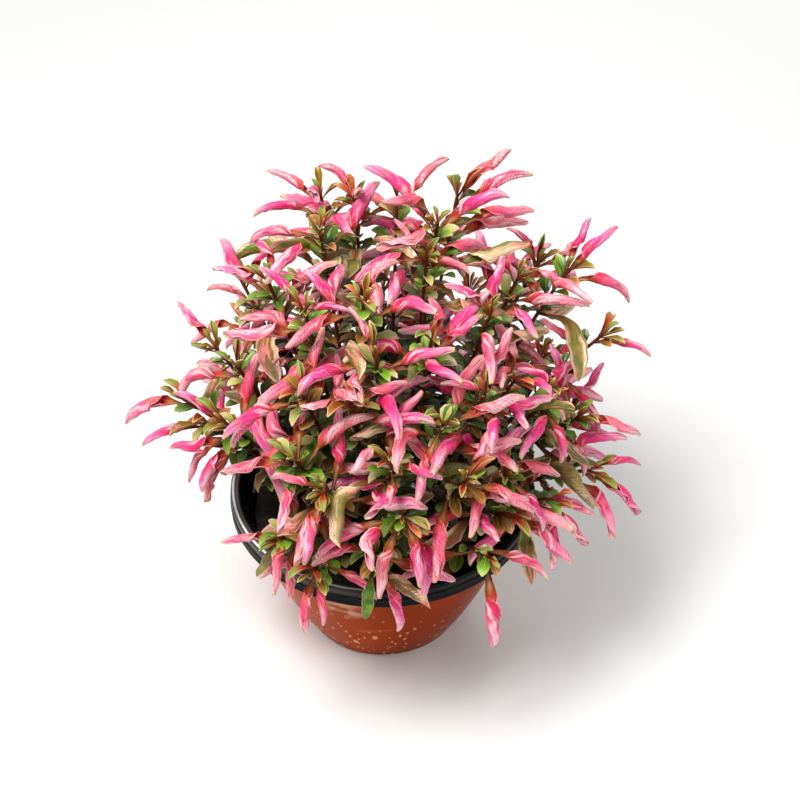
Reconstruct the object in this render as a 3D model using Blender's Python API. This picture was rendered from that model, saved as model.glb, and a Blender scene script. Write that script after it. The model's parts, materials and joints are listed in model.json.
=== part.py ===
"""A joyweed plant in its pot: a bowl, a liner pot hooked over the bowl's edge, soil, and leafy shoots.

Origin: the middle of the pot's flat bottom. +Z up, the front of the plant towards -Y. Metres.
"""

import math
import random

import bmesh
import bpy
import numpy as np

MM = 0.001
GAP = 0.3 * MM  # clearance between pieces that touch

# Pot
BASE_R = 37.5 * MM  # bowl, outside, at the bottom
SHOULDER_R = 67.4 * MM  # bowl, outside, a little under the liner's skirt
SHOULDER_Z = 66 * MM
BOWL_TOP = 79.5 * MM
BOWL_WALL = 1.6 * MM
BOWL_FLOOR = 2.0 * MM
FULLNESS = 0.8  # below 1, the bowl's side bulges
FOOT_ROUND = 3.0 * MM
LINER_WALL = 1.2 * MM
LINER_FLOOR = 1.5 * MM
RIM_TOP = 82.5 * MM
RIM_R = 75 * MM
RIM_ROUND = 1.6 * MM
SKIRT_FOOT = 72 * MM
RIDGE_Z = 77 * MM  # fine ridge round the skirt
RIDGE = 0.5 * MM
HOLE_R = 4.0 * MM
HOLE_RING_R = 23 * MM
HOLES = 5
HOLE_SIDES = 10
SOIL_TOP = 66 * MM
TURN_STEPS = 32

# Shoots
STEM_R = 1.25 * MM  # at the soil, to the corners of a four-sided stem
STEM_TIP_R = 0.9 * MM
STEM_SIDES = 4
STEM_POINTS = 60  # along the curve that a stem follows
STEM_STEPS = 4  # along its solid
ROOT_NEAR = 5 * MM  # where an upright shoot leaves the soil, from the middle
ROOT_SPREAD = 34 * MM  # how much further out a level one does
ARCH = 0.12  # how far a leaning stem arches up, as a share of its reach
TIP_R = 2.5 * MM  # room for the young leaves at a shoot's tip

# Each pair of leaves: distance below the tip, leaf length, angle from the stem in degrees
PAIRS = ((5 * MM, 31 * MM, 40), (15 * MM, 41 * MM, 52), (28 * MM, 46 * MM, 62), (44 * MM, 44 * MM, 70))
SHORTEST_STALK = 22 * MM  # no pair grows nearer the soil than this, along the stem
DROOPS = (10, 35, 60, 85)  # how far a leaf bends down, in degrees
SWEEPS = (-45, 0, 45)  # how far it bends sideways
LEAF_STEPS = 16
FULL_LEAF = 46 * MM
LEAF_STATIONS = (0.0, 0.34, 0.46, 0.7, 1.0)  # along a leaf, and its half thickness there
LEAF_RADII = (0.8 * MM, 1.4 * MM, 2.7 * MM, 2.2 * MM, 0.7 * MM)
SOLID_STATIONS = (0.0, 0.42, 0.7, 1.0)  # where a leaf's solid has its corners
LEAF_GAP = 0.8 * MM
SEED = 11

# The left side of the plant leaves a slanting way open down to the soil
WAY_FOOT = np.array((-62.0, 4.0, 72.0)) * MM
WAY_DIRECTION = np.array((0.0, -0.76, 0.65))
WAY_LENGTH = 80 * MM
WAY_R = 13 * MM

# Each shoot's tip: compass direction (0 right, 90 back, 180 left, 270 front) and lean from upright, in
# degrees, and its distance from the middle of the soil, in millimetres
CROWN = (
    (104, 19, 160), (255, 11, 154), (172, 21, 147), (55, 22, 166), (80, 15, 165), (340, 21, 147),
    (10, 8, 152), (138, 14, 158), (268, 19, 144), (300, 18, 147), (214, 16, 149), (117, 23, 162),
    (40, 12, 163),
)
SHOULDER = (
    (190, 34, 122), (237, 28, 134), (204, 43, 117), (252, 44, 116), (274, 37, 124), (294, 32, 129),
    (332, 32, 130), (20, 37, 156), (8, 47, 143), (344, 42, 124), (354, 54, 116), (258, 27, 132),
    (298, 44, 118), (241, 40, 122), (24, 30, 140), (194, 49, 113), (315, 30, 133), (316, 48, 108),
)
SKIRT = (
    (182, 52, 120), (238, 60, 100), (277, 49, 110), (268, 62, 98), (313, 57, 103), (350, 68, 110),
    (330, 62, 104), (250, 66, 97), (301, 64, 106),
)
BACK = (
    (42, 46, 144), (72, 36, 142), (100, 38, 138), (148, 36, 136), (164, 45, 118), (64, 57, 122),
    (90, 58, 118), (116, 55, 118), (136, 57, 116), (38, 66, 112), (78, 72, 106), (110, 72, 104),
    (150, 68, 100), (14, 66, 110),
)
# Leaves set by hand, mostly along the outline: the shoot's number, millimetres below its tip, the
# compass direction and rise that it starts out with, its length in millimetres, and its droop
PLACED = (
    (2, 8, 205, 10, 40, 35), (4, 8, 36, 50, 40, 35), (4, 14, 22, 40, 45, 35), (4, 22, 11, 28, 43, 35),
    (4, 30, 345, 15, 40, 60), (5, 10, 30, 45, 34, 10), (5, 14, 185, 15, 40, 35), (5, 24, 330, 10, 40, 35),
    (8, 8, 178, 20, 35, 35), (9, 10, 200, 15, 40, 35), (10, 16, 30, 34, 32, 10), (10, 24, 182, 4, 36, 10),
    (12, 9, 152, 42, 34, 35), (13, 6, 148, 48, 46, 35), (14, 3, 52, 46, 35, 10), (15, 4, 70, 50, 34, 10),
    (15, 6, 200, 5, 42, 35), (16, 10, 157, 30, 34, 10), (16, 24, 205, -5, 38, 60),
    (17, 5, 250, -15, 36, 35), (19, 5, 245, -20, 37, 35), (19, 6, 12, 25, 40, 10), (21, 6, 55, 50, 30, 10),
    (21, 10, 30, 40, 38, 10), (21, 12, 4, 14, 42, 60), (22, 6, 355, 8, 30, 35), (22, 14, 160, 40, 26, 10),
    (22, 26, 200, 20, 40, 35), (22, 30, 320, -20, 36, 35), (23, 12, 300, 0, 34, 85),
    (24, 5, 110, 48, 38, 10), (24, 6, 355, 8, 36, 35), (24, 16, 320, -10, 30, 60), (26, 8, 340, 8, 36, 35),
    (27, 5, 88, 52, 39, 10), (27, 8, 182, 10, 38, 35), (29, 6, 185, 5, 36, 35), (29, 12, 95, 20, 26, 10),
    (29, 16, 215, -5, 32, 60), (29, 24, 232, -10, 36, 60), (30, 8, 60, 45, 36, 10),
    (31, 6, 320, -5, 34, 60), (32, 12, 178, 18, 43, 60), (32, 22, 80, 25, 28, 35), (33, 5, 262, 15, 34, 60),
    (33, 6, 185, 5, 30, 10), (33, 10, 218, -15, 26, 35), (33, 16, 100, 40, 36, 10),
    (33, 16, 262, -15, 34, 60), (34, 4, 290, -10, 36, 60), (34, 8, 248, -15, 42, 60),
    (34, 14, 196, 0, 44, 35), (35, 4, 258, -30, 28, 35), (35, 8, 300, -20, 39, 60),
    (36, 10, 335, -5, 43, 35), (36, 16, 184, 4, 40, 35), (37, 4, 15, 15, 30, 35), (37, 6, 338, -12, 38, 35),
    (38, 8, 350, -5, 27, 10), (38, 16, 335, -10, 38, 35), (38, 22, 290, -25, 42, 35),
    (39, 4, 278, -20, 28, 35), (39, 8, 248, -20, 37, 60), (39, 8, 335, 0, 32, 35),
    (39, 22, 110, 40, 36, 10), (39, 22, 190, 5, 36, 35), (40, 5, 280, -30, 50, 60),
    (40, 10, 190, -2, 39, 35), (40, 14, 350, 0, 38, 35), (43, 6, 150, 35, 38, 10),
    (43, 14, 165, 30, 41, 35), (44, 6, 60, 40, 30, 10), (44, 14, 165, 30, 24, 35),
    (44, 20, 275, 10, 40, 60), (45, 3, 142, 40, 32, 10), (45, 12, 240, 5, 26, 35),
    (45, 20, 280, 15, 40, 60), (46, 8, 20, 35, 36, 10), (53, 6, 75, 45, 30, 10), (54, 8, 125, 45, 34, 10),
)
BARE = (5, 22, 29, 32, 33, 39, 40, 44, 45)  # shoots that bear no other leaves
# Each group's shoots, pairs of leaves on each, and the lowest that such a leaf hangs
GROUPS = ((CROWN, 3, 100 * MM), (SHOULDER, 3, 88 * MM), (SKIRT, 4, 92 * MM), (BACK, 4, 88 * MM))

ORANGE = (0.55, 0.11, 0.03, 1)
BLACK = (0.012, 0.012, 0.013, 1)
EARTH = (0.03, 0.02, 0.014, 1)
PINK = (0.75, 0.12, 0.28, 1)


def material(name, colour, roughness):
    made = bpy.data.materials.new(name)
    made.use_nodes = True
    shader = made.node_tree.nodes["Principled BSDF"]
    shader.inputs["Base Color"].default_value = colour
    shader.inputs["Roughness"].default_value = roughness
    shader.inputs["Metallic"].default_value = 0.0
    return made


def add(name, form, finish, smooth_below=40):
    """The form as a named object, its faces turned out."""
    bmesh.ops.recalc_face_normals(form, faces=form.faces)
    mesh = bpy.data.meshes.new(name)
    form.to_mesh(mesh)
    form.free()
    mesh.materials.append(finish)
    mesh.shade_smooth()
    mesh.set_sharp_from_angle(angle=math.radians(smooth_below))
    piece = bpy.data.objects.new(name, mesh)
    bpy.context.collection.objects.link(piece)
    return piece


def join_or_cut(piece, other, operation):
    """A live Boolean with a hidden second shape."""
    other.hide_render = True
    other.display_type = "WIRE"
    change = piece.modifiers.new(other.name, "BOOLEAN")
    change.operation = operation
    change.solver = "EXACT"
    change.use_self = operation == "UNION"
    change.object = other


# Pot and soil


def bowl_radius(z):
    """Outside of the bowl at a height."""
    return BASE_R + (SHOULDER_R - BASE_R) * (max(z, 0) / SHOULDER_Z) ** FULLNESS


def heights(low, high, steps):
    return [low + (high - low) * i / steps for i in range(steps + 1)]


def arc(centre_r, centre_z, radius, start, end, steps):
    """Points of a round corner, between two angles in degrees."""
    turns = [math.radians(start + (end - start) * i / steps) for i in range(steps + 1)]
    return [(centre_r + radius * math.cos(a), centre_z + radius * math.sin(a)) for a in turns]


def turned(name, outline, finish):
    """A closed outline of (radius, height) turned round the upright axis."""
    form = bmesh.new()
    points = [form.verts.new((r, 0, z)) for r, z in outline]
    edges = [form.edges.new((a, b)) for a, b in zip(points, points[1:] + points[:1])]
    bmesh.ops.spin(form, geom=points + edges, cent=(0, 0, 0), axis=(0, 0, 1), angle=2 * math.pi,
                   steps=TURN_STEPS, use_merge=True)
    bmesh.ops.remove_doubles(form, verts=form.verts, dist=1e-7)
    bmesh.ops.dissolve_degenerate(form, dist=1e-7, edges=form.edges)
    return add(name, form, finish)


def drains(name):
    """Upright pegs that cut the drain holes through a floor."""
    form = bmesh.new()
    for i in range(HOLES):
        turn = 2 * math.pi * i / HOLES
        made = bmesh.ops.create_cone(form, cap_ends=True, segments=HOLE_SIDES, radius1=HOLE_R,
                                     radius2=HOLE_R, depth=BOWL_FLOOR * 6)
        middle = (HOLE_RING_R * math.cos(turn), HOLE_RING_R * math.sin(turn), 0)
        bmesh.ops.translate(form, verts=made["verts"], vec=middle)
    return add(name, form, bpy.data.materials["orange_plastic"])


def outer_pot():
    def inner(z):
        return bowl_radius(z) - BOWL_WALL

    foot = arc(bowl_radius(FOOT_ROUND) - FOOT_ROUND, FOOT_ROUND, FOOT_ROUND, -90, -12, 3)
    outside = [(bowl_radius(z), z) for z in heights(FOOT_ROUND * 2, BOWL_TOP, 7)]
    inside = [(inner(z), z) for z in reversed(heights(BOWL_FLOOR, BOWL_TOP, 6))]
    outline = [(0, 0)] + foot + outside + inside + [(0, BOWL_FLOOR)]
    bowl = turned("outer_pot", outline, material("orange_plastic", ORANGE, 0.25))
    join_or_cut(bowl, drains("outer_pot_drains"), "DIFFERENCE")


def liner_radius(z):
    """Outside of the liner's wall, which stands just inside the bowl."""
    return bowl_radius(z) - BOWL_WALL - GAP


def liner_pot():
    floor = BOWL_FLOOR + GAP
    hook_top = BOWL_TOP + GAP * 2
    wall = [(liner_radius(z), z) for z in heights(floor, hook_top, 6)]
    skirt_in = RIM_R - LINER_WALL
    skirt = [(skirt_in, hook_top), (skirt_in, SKIRT_FOOT), (RIM_R, SKIRT_FOOT),
             (RIM_R, RIDGE_Z - RIDGE * 2), (RIM_R + RIDGE, RIDGE_Z), (RIM_R, RIDGE_Z + RIDGE * 2)]
    lip = arc(RIM_R - RIM_ROUND, RIM_TOP - RIM_ROUND, RIM_ROUND, 0, 90, 3)
    bore = liner_radius(RIM_TOP) - LINER_WALL
    mouth = arc(bore + RIM_ROUND, RIM_TOP - RIM_ROUND, RIM_ROUND, 90, 180, 3)
    inside = [(liner_radius(z) - LINER_WALL, z)
              for z in reversed(heights(floor + LINER_FLOOR, RIM_TOP - RIM_ROUND * 2, 6))]
    outline = [(0, floor)] + wall + skirt + lip + mouth + inside + [(0, floor + LINER_FLOOR)]
    liner = turned("liner_pot", outline, material("black_plastic", BLACK, 0.2))
    join_or_cut(liner, drains("liner_pot_drains"), "DIFFERENCE")


def soil():
    low = BOWL_FLOOR + LINER_FLOOR + GAP * 2
    side = [(liner_radius(z) - LINER_WALL - GAP, z) for z in heights(low, SOIL_TOP, 5)]
    turned("soil", [(0, low)] + side + [(0, SOIL_TOP)], material("dark_soil", EARTH, 0.95))


# Growth: where each stem runs and each leaf hangs


def unit(vector):
    return vector / np.linalg.norm(vector)


def turn(vector, axis, degrees):
    """The vector turned round a unit axis."""
    angle = math.radians(degrees)
    across = np.cross(axis, vector)
    along = axis * (axis @ vector)
    return vector * math.cos(angle) + across * math.sin(angle) + along * (1 - math.cos(angle))


def stem_line(azimuth, lean, reach):
    """Points of a stem from the soil to its tip: a curve that arches up a little."""
    out = np.array((math.cos(math.radians(azimuth)), math.sin(math.radians(azimuth)), 0))
    up = np.array((0, 0, 1.0))
    level = math.sin(math.radians(lean))
    root = out * (ROOT_NEAR + ROOT_SPREAD * level) + up * (SOIL_TOP + GAP + STEM_R * level)
    tip = out * reach * level + up * (SOIL_TOP + reach * math.cos(math.radians(lean)))
    middle = (root + tip) / 2 + up * reach * ARCH * level
    t = np.linspace(0, 1, STEM_POINTS + 1)[:, None]
    return (1 - t) ** 2 * root + 2 * t * (1 - t) * middle + t * t * tip


def leaf_line(length, droop, sweep):
    """A leaf's midrib: out along +Z, then bending down towards -Y and sideways towards +X."""
    t = (np.arange(LEAF_STEPS) + 0.5) / LEAF_STEPS
    bend = np.clip((t - 0.2) / 0.6, 0, 1)
    bend = bend * bend * (3 - 2 * bend)
    down = np.radians(droop) * bend
    side = np.radians(sweep) * bend
    steps = np.stack((np.sin(side), -np.sin(down) * np.cos(side), np.cos(down) * np.cos(side)), 1)
    return np.vstack((np.zeros(3), np.cumsum(steps * length / LEAF_STEPS, 0)))


def leaf_radius(t, length):
    return np.interp(t, LEAF_STATIONS, LEAF_RADII) * length / FULL_LEAF


def clear_of_pot(points, radius, lowest):
    """Whether balls at these points miss the rim, the soil and the side of the pot."""
    out = np.hypot(points[:, 0], points[:, 1])
    z = points[:, 2]
    bore = liner_radius(RIM_TOP) - LINER_WALL
    rim = (out > bore - radius) & (out < RIM_R + radius) & (z < RIM_TOP + radius)
    ground = (out <= bore) & (z < SOIL_TOP + radius)
    return not (rim | ground).any() and z.min() > lowest


def clear_of_way(points, radius):
    """Whether they miss the open way down to the soil."""
    along = np.clip((points - WAY_FOOT) @ WAY_DIRECTION, 0, WAY_LENGTH)
    off = np.linalg.norm(points - WAY_FOOT - along[:, None] * WAY_DIRECTION, axis=1)
    return (off > WAY_R + radius).all()


class Room:
    """The balls that stems and leaves fill, and whose they are."""

    def __init__(self):
        self.middles = np.empty((0, 3))
        self.radii = np.empty(0)
        self.owners = np.empty(0, int)

    def fill(self, points, radii, owner):
        self.middles = np.vstack((self.middles, points))
        self.radii = np.concatenate((self.radii, radii))
        self.owners = np.concatenate((self.owners, np.full(len(points), owner)))

    def is_free(self, points, radii, on_stalk, owner):
        """Whether a leaf fits; its stalk may lie against its own stem."""
        reach = radii.max() + self.radii.max() + LEAF_GAP
        low, high = points.min(0) - reach, points.max(0) + reach
        near = ((self.middles > low) & (self.middles < high)).all(1)
        apart = np.linalg.norm(points[:, None] - self.middles[near][None], axis=2)
        touching = apart < radii[:, None] + self.radii[near][None] + LEAF_GAP
        allowed = on_stalk[:, None] & (self.owners[near] == owner)[None]
        return not (touching & ~allowed).any()


def point_below(line, distance):
    """The place and direction on a stem this far below its tip."""
    run = np.concatenate(([0], np.cumsum(np.linalg.norm(np.diff(line, axis=0), axis=1))))
    at = int(np.clip(np.searchsorted(run, run[-1] - distance), 1, len(line) - 2))
    return line[at], unit(line[at + 1] - line[at - 1])


def frame_along(out):
    """A leaf's side, up and outward directions, from the way it starts out."""
    side = unit(np.cross((0, 0, 1.0), out))
    return side, np.cross(out, side), out


def leaf_frame(axis, angle, pitch):
    """The frame of a leaf at this angle round its stem's direction, this far off it."""
    level = unit(np.cross(axis, (0, 0, 1.0)))
    aside = turn(level, axis, angle)
    return frame_along(axis * math.cos(math.radians(pitch)) + aside * math.sin(math.radians(pitch)))


def set_frame(compass, rise):
    """The frame of a leaf that starts out in this compass direction, rising this much."""
    level, up = math.radians(compass), math.radians(rise)
    return frame_along(np.array((math.cos(level) * math.cos(up), math.sin(level) * math.cos(up),
                                 math.sin(up))))


def try_leaf(room, owner, lowest, foot, frame, length, droop, sweep):
    """The leaf, if it touches nothing there, or None."""
    t = np.linspace(0, 1, LEAF_STEPS + 1)
    free = t > 0.12  # past the stem's own thickness
    radii = leaf_radius(t, length)
    line = foot + leaf_line(length, droop, sweep) @ np.array(frame)
    if not clear_of_pot(line[free], radii.max(), lowest) or not clear_of_way(line[free], 0):
        return None
    if not room.is_free(line[free], radii[free], t[free] < 0.3, owner):
        return None
    room.fill(line[1:], radii[1:], owner)
    return {"line": line, "frame": frame, "length": length}


def place_leaf(room, owner, lowest, foot, axis, angle, pitch, length, droop, sweep):
    """The first way near the wanted one in which the leaf touches nothing, or None."""
    for pitch_change in (0, -14, 14, -26):
        bends = (droop,) if pitch_change == 0 else (droop,) + tuple(d for d in DROOPS if d != droop)
        for angle_change in (0, 16, -16, 32, -32, 48, -48):
            frame = leaf_frame(axis, angle + angle_change, pitch + pitch_change)
            for bend in bends:
                leaf = try_leaf(room, owner, lowest, foot, frame, length, bend, sweep)
                if leaf:
                    return leaf
    return None


def grow():
    """Every shoot: its stem's points and its leaves, those set by hand first, then the upper pairs."""
    choice = random.Random(SEED)
    room = Room()
    shoots = []
    for tips, pairs, lowest in GROUPS:
        for azimuth, lean, reach in tips:
            line = stem_line(azimuth, lean, reach * MM)
            owner = len(shoots)
            room.fill(line[::2], np.full(STEM_POINTS // 2 + 1, STEM_R), owner)
            room.fill(line[-1:], np.array([TIP_R]), owner)
            shoots.append({"line": line, "pairs": pairs, "lowest": lowest, "leaves": [],
                           "turn": choice.uniform(0, 180), "by_hand": 0})
    for number, below, compass, rise, length, droop in PLACED:
        shoot = shoots[number - 1]
        foot = point_below(shoot["line"], below * MM)[0]
        leaf = try_leaf(room, number - 1, 0, foot, set_frame(compass, rise), length * MM, droop, 0)
        shoot["leaves"].append(leaf)
        shoot["by_hand"] += 1
    for rank, (below, full, pitch) in enumerate(PAIRS):
        for owner, shoot in enumerate(shoots):
            line = shoot["line"]
            length_of_stem = np.linalg.norm(np.diff(line, axis=0), axis=1).sum()
            if rank >= shoot["pairs"] or length_of_stem - below < SHORTEST_STALK or owner + 1 in BARE:
                continue
            foot, axis = point_below(line, below)
            for side in (0, 1):
                if 2 * rank + side < shoot["by_hand"]:
                    continue
                angle = shoot["turn"] + 90 * rank + 180 * side + choice.uniform(-12, 12)
                length = full * choice.uniform(0.86, 1.14)
                leaf = place_leaf(room, owner, shoot["lowest"], foot, axis, angle, pitch, length,
                                  choice.choice(DROOPS[:3]), choice.choice(SWEEPS))
                if leaf:
                    shoot["leaves"].append(leaf)
    return shoots


# Shoots as solids


def loft(form, line, radii, sides, level):
    """A closed tube of flat-sided rings along a line; a last radius of 0 ends it in a point."""
    rings = []
    for i, (point, radius) in enumerate(zip(line, radii)):
        ahead = unit(line[min(i + 1, len(line) - 1)] - line[max(i - 1, 0)])
        across = unit(level - ahead * (ahead @ level))
        above = np.cross(ahead, across)
        turns = [2 * math.pi * k / sides for k in range(sides if radius else 1)]
        rings.append([form.verts.new(point + radius * (across * math.cos(a) + above * math.sin(a)))
                      for a in turns])
    form.faces.new(reversed(rings[0]))
    for low, high in zip(rings, rings[1:]):
        for k in range(sides):
            corners = [low[k], low[(k + 1) % sides], high[(k + 1) % len(high)], high[k % len(high)]]
            form.faces.new(dict.fromkeys(corners))
    if len(rings[-1]) > 1:
        form.faces.new(rings[-1])


def leaf_solid(form, leaf):
    """A plain solid of the rolled leaf's outer shape."""
    t = np.linspace(0, 1, LEAF_STEPS + 1)
    line = np.stack([np.interp(SOLID_STATIONS, t, leaf["line"][:, k]) for k in range(3)], 1)
    radii = list(leaf_radius(SOLID_STATIONS, leaf["length"]))
    loft(form, line, radii[:-1] + [0], 3, leaf["frame"][0])


def shoot_solids():
    finish = material("pink_leaf", PINK, 0.4)
    for number, shoot in enumerate(grow(), 1):
        line = shoot["line"][:: STEM_POINTS // STEM_STEPS]
        form = bmesh.new()
        radii = np.linspace(STEM_R, STEM_TIP_R, len(line))
        loft(form, line, radii, STEM_SIDES, unit(np.cross(line[-1] - line[0], (0, 0, 1.0))))
        stem = add(f"shoot_{number:02d}", form, finish)
        leaves = bmesh.new()
        for leaf in shoot["leaves"]:
            leaf_solid(leaves, leaf)
        join_or_cut(stem, add(f"shoot_{number:02d}_leaves", leaves, finish), "UNION")


def main():
    for old in list(bpy.data.objects):
        bpy.data.objects.remove(old, do_unlink=True)
    outer_pot()
    liner_pot()
    soil()
    shoot_solids()


main()
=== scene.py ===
import json
import math
import random

import bmesh
import bpy
import numpy as np
from mathutils import Matrix, Vector

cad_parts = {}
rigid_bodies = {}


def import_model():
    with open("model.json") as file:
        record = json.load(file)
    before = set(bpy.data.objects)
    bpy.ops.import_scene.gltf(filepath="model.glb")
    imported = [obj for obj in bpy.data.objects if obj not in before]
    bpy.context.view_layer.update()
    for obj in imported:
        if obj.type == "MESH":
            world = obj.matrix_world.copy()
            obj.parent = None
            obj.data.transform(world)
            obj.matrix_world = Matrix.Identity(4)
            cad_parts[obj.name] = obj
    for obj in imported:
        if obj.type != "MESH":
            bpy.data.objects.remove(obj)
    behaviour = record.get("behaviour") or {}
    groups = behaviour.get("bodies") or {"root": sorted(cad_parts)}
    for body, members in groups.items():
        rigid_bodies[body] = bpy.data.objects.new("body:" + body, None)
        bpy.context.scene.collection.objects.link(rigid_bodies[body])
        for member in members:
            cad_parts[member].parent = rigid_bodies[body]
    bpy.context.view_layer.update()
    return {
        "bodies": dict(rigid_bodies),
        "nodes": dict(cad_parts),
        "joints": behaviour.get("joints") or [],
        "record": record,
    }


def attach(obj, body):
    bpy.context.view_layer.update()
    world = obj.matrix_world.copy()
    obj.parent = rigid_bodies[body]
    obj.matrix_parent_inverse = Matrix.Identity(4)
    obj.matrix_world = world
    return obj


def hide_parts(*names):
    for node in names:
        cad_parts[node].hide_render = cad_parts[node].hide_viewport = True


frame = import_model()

MM = 0.001
BODY = "root"

# Pot, in the sizes that the solids have
BASE_R = 37.5 * MM
SHOULDER_R = 67.4 * MM
SHOULDER_Z = 66 * MM
FULLNESS = 0.8
BOWL_TOP = 79.5 * MM
BOWL_WALL = 1.6 * MM
BOWL_FLOOR = 2.0 * MM
FOOT_ROUND = 3.0 * MM
FLAT_RING_R = 20 * MM  # a ring of edges across its flat
GAP = 0.3 * MM
LINER_WALL = 1.2 * MM
LINER_FLOOR = 1.5 * MM
RIM_TOP = 82.5 * MM
RIM_R = 75 * MM
RIM_ROUND = 1.6 * MM
SKIRT_FOOT = 72 * MM
SKIRT_BEAD = 0.7 * MM
SIDE_R = RIM_R - 0.35 * MM  # the skirt's outside below its ridge
UPPER_R = RIM_R - 0.3 * MM  # and above it
RIDGE_R = RIM_R - 0.2 * MM
RIDGE_Z = 77 * MM
RIDGE = 0.5 * MM
HOLE_R = 4.0 * MM
HOLE_RING_R = 23 * MM
HOLES = 5
SOIL_TOP = 66 * MM
SOIL_RINGS = 36
TURN_SIDES = 128
CENTRE_R = 0.6 * MM  # small ring that closes a turned floor

# Growth, by the rule that the solids follow
STEM_R = 1.25 * MM
STEM_POINTS = 60
ROOT_NEAR = 5 * MM
ROOT_SPREAD = 34 * MM
ARCH = 0.12
TIP_R = 2.5 * MM
# Pairs of large leaves down a stem: how far below its tip, their length, and their pitch off it
PAIRS = ((5 * MM, 31 * MM, 40), (15 * MM, 41 * MM, 52), (28 * MM, 46 * MM, 62), (44 * MM, 44 * MM, 70))
SHORTEST_STALK = 22 * MM
DROOPS = (10, 35, 60, 85)
SWEEPS = (-45, 0, 45)
LEAF_STEPS = 16
BEND_FROM, BEND_OVER = 0.2, 0.6  # shares of a leaf before it bends, and while it does
FULL_LEAF = 46 * MM
LEAF_STATIONS = (0, 0.34, 0.46, 0.7, 1.0)
LEAF_RADII = (0.8 * MM, 1.4 * MM, 2.7 * MM, 2.2 * MM, 0.7 * MM)
LEAF_GAP = 0.8 * MM
LEAVING = 0.12  # share of a leaf that may lie within its stem's own thickness
AGAINST_STEM = 0.3  # share of it that may lie against its own stem
SEED = 11
UP = np.array((0, 0, 1.0))
# The open way down to the soil at the left rim
WAY_FOOT = np.array((-62.0, 4.0, 72.0)) * MM
WAY_DIRECTION = np.array((0, -0.76, 0.65))
WAY_LENGTH = 80 * MM
WAY_R = 13 * MM

# Each shoot's tip: compass direction (0 right, 90 back), lean from upright, reach in millimetres
CROWN = (
    (104, 19, 160), (255, 11, 154), (172, 21, 147), (55, 22, 166), (80, 15, 165), (340, 21, 147),
    (10, 8, 152), (138, 14, 158), (268, 19, 144), (300, 18, 147), (214, 16, 149), (117, 23, 162),
    (40, 12, 163),
)
SHOULDER = (
    (190, 34, 122), (237, 28, 134), (204, 43, 117), (252, 44, 116), (274, 37, 124), (294, 32, 129),
    (332, 32, 130), (20, 37, 156), (8, 47, 143), (344, 42, 124), (354, 54, 116), (258, 27, 132),
    (298, 44, 118), (241, 40, 122), (24, 30, 140), (194, 49, 113), (315, 30, 133), (316, 48, 108),
)
SKIRT = (
    (182, 52, 120), (238, 60, 100), (277, 49, 110), (268, 62, 98), (313, 57, 103), (350, 68, 110),
    (330, 62, 104), (250, 66, 97), (301, 64, 106),
)
BACK = (
    (42, 46, 144), (72, 36, 142), (100, 38, 138), (148, 36, 136), (164, 45, 118), (64, 57, 122),
    (90, 58, 118), (116, 55, 118), (136, 57, 116), (38, 66, 112), (78, 72, 106), (110, 72, 104),
    (150, 68, 100), (14, 66, 110),
)
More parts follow.
